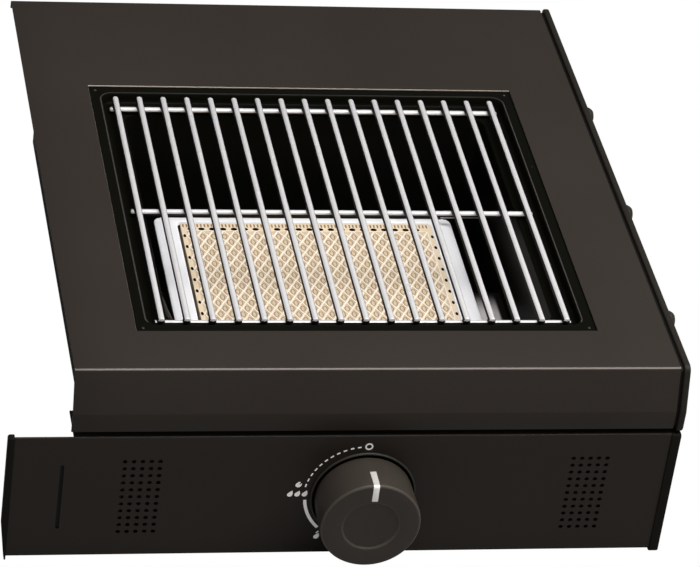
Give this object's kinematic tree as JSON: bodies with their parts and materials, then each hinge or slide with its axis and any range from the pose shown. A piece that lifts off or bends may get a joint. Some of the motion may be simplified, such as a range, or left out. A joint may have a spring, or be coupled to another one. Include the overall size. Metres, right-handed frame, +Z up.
{
  "type": "gas grill side burner",
  "caption": "Gas grill side burner shelf: folded steel deck with a sunk infrared burner under a lift-off bar grate, and a vented control panel with a push-and-turn knob.",
  "frame": {"origin": "centre of the four cart bolts, on the outer face of the left mounting plate", "axes": "+X to the right away from the grill, +Y from the cook to the rear, +Z up"},
  "size_m": [0.4065, 0.4485, 0.134],
  "materials": {
    "deck_coating": "satin powder coat, warm dark grey",
    "panel_coating": "satin powder coat, brown black",
    "trim_coating": "satin black",
    "black_screws": "blackened",
    "side_steel": "satin powder coat",
    "bracket_steel": "zinc plated",
    "knob_plastic": "fine matte",
    "bezel_plastic": "satin",
    "pointer_white": "white inlay",
    "valve_brass": "machined",
    "valve_alloy": "die cast",
    "spring_steel": "drawn wire",
    "igniter_plastic": "moulded",
    "lead_rubber": "silicone sleeve",
    "copper_line": "bare copper",
    "probe_steel": "heat stained",
    "insulator_ceramic": "glazed",
    "pan_enamel": "glossy black enamel",
    "grate_chrome": "plated round bar",
    "burner_steel": "stainless sheet",
    "tile_ceramic": "porous infrared tile",
    "gasket_fibre": "ceramic fibre"
  },
  "bodies": {
    "chassis": {"deck": "deck_coating", "control_panel": "panel_coating", "right_end_panel": "trim_coating", "left_panel_cap": "trim_coating", "right_panel_cap": "trim_coating", "end_panel_screws": "black_screws", "pan_rivets": "black_screws", "left_mounting_plate": "side_steel", "right_side_plate": "side_steel", "panel_angles": "side_steel", "vent_shields": "side_steel", "valve_bracket": "bracket_steel", "burner_bracket_left": "bracket_steel", "burner_bracket_right": "bracket_steel", "electrode_clip": "bracket_steel", "burner_screws": "bracket_steel", "bonnet_screws": "bracket_steel", "thermocouple_nut": "bracket_steel", "knob_bezel": "bezel_plastic", "valve_body": "valve_brass", "gas_nozzle": "valve_brass", "gas_inlet_fitting": "valve_brass", "valve_bonnet": "valve_alloy", "igniter": "igniter_plastic", "ignition_lead": "lead_rubber", "thermocouple_lead": "copper_line", "thermocouple": "probe_steel", "electrode_rod": "probe_steel", "electrode_insulator": "insulator_ceramic", "pan": "pan_enamel", "burner_frame": "burner_steel", "burner_plenum": "burner_steel", "venturi_tube": "burner_steel", "ceramic_tile": "tile_ceramic", "tile_gasket": "gasket_fibre"},
    "grate": {"grate_bars": "grate_chrome", "grate_cross_rods": "grate_chrome"},
    "stem_carrier": {"spring_cup": "valve_alloy", "return_spring": "spring_steel"},
    "knob": {"knob": "knob_plastic", "knob_pointer": "pointer_white", "valve_stem": "valve_brass"}
  },
  "joints": [
    {"name": "grate_lift", "type": "slide", "parent": "chassis", "child": "grate", "axis": [0, 0, 1], "range_m": [0, 0.12]},
    {"name": "knob_push", "type": "slide", "parent": "chassis", "child": "stem_carrier", "axis": [0, 1, 0], "range_m": [0, 0.003], "stiffness_N_per_m": 900, "springref_m": -0.003},
    {"name": "knob_turn", "type": "hinge", "parent": "stem_carrier", "child": "knob", "pos_m": [0.155, -0.2125, -0.02725], "axis": [0, -1, 0], "range_deg": [0, 140]}
  ]
}
